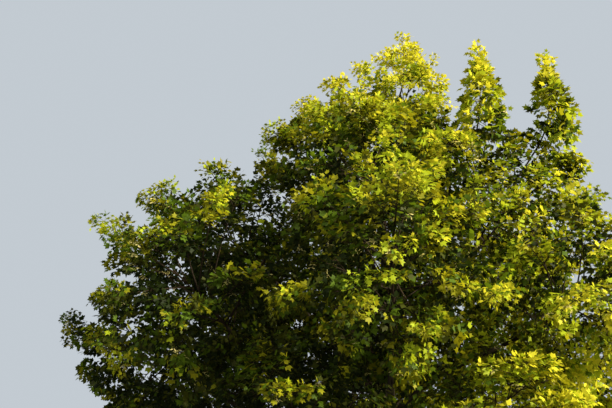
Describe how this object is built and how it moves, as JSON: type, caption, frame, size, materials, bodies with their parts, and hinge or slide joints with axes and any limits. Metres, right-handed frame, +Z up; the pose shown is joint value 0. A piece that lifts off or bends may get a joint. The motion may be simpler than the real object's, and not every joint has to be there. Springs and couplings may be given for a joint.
{
  "type": "maple tree",
  "caption": "Rooted broadleaf tree with one trunk that runs up through a domed crown, forking boughs and dense masses of lobed leaves.",
  "frame": {"origin": "middle of the flat cut under the trunk, at ground level", "axes": "+Z up along the trunk; -Y is the side the picture was taken from; +X is to its right"},
  "size_m": [11.3143, 11.3262, 12.9179],
  "materials": {
    "trunk_bark": "rough grey-brown bark with shallow furrows",
    "bough_bark": "brown bark, smoother than the trunk's",
    "leaf_sunlit": "yellow-green leaf, satin",
    "leaf_green": "mid-green leaf, satin",
    "leaf_shaded": "deep green leaf, satin"
  },
  "bodies": {
    "root": {"trunk": "trunk_bark", "bough_broad_1": "bough_bark", "bough_broad_2": "bough_bark", "bough_broad_3": "bough_bark", "bough_broad_4": "bough_bark", "bough_broad_5": "bough_bark", "bough_broad_6": "bough_bark", "bough_broad_7": "bough_bark", "bough_broad_8": "bough_bark", "bough_shoulder_1": "bough_bark", "bough_shoulder_2": "bough_bark", "bough_shoulder_3": "bough_bark", "bough_shoulder_4": "bough_bark", "bough_shoulder_5": "bough_bark", "bough_shoulder_6": "bough_bark", "bough_skirt_1": "bough_bark", "bough_skirt_2": "bough_bark", "bough_skirt_3": "bough_bark", "bough_skirt_4": "bough_bark", "bough_skirt_5": "bough_bark", "bough_skirt_6": "bough_bark", "bough_spire_1": "bough_bark", "bough_spire_2": "bough_bark", "bough_upper_1": "bough_bark", "bough_upper_2": "bough_bark", "bough_upper_3": "bough_bark", "bough_upper_4": "bough_bark", "foliage_broad_1": "leaf_green", "foliage_broad_2": "leaf_green", "foliage_broad_3": "leaf_green", "foliage_broad_4": "leaf_green", "foliage_broad_5": "leaf_green", "foliage_broad_6": "leaf_green", "foliage_broad_7": "leaf_green", "foliage_broad_8": "leaf_green", "foliage_crest_1": "leaf_sunlit", "foliage_crest_2": "leaf_sunlit", "foliage_crest_3": "leaf_sunlit", "foliage_inner_1": "leaf_shaded", "foliage_inner_2": "leaf_shaded", "foliage_inner_3": "leaf_shaded", "foliage_shoulder_1": "leaf_green", "foliage_shoulder_2": "leaf_green", "foliage_shoulder_3": "leaf_green", "foliage_shoulder_4": "leaf_green", "foliage_shoulder_5": "leaf_green", "foliage_shoulder_6": "leaf_green", "foliage_skirt_1": "leaf_shaded", "foliage_skirt_2": "leaf_shaded", "foliage_skirt_3": "leaf_shaded", "foliage_skirt_4": "leaf_shaded", "foliage_skirt_5": "leaf_shaded", "foliage_skirt_6": "leaf_shaded", "foliage_spire_1": "leaf_sunlit", "foliage_spire_2": "leaf_sunlit", "foliage_top_1": "leaf_sunlit", "foliage_upper_1": "leaf_sunlit", "foliage_upper_2": "leaf_sunlit", "foliage_upper_3": "leaf_sunlit", "foliage_upper_4": "leaf_sunlit"}
  },
  "joints": []
}
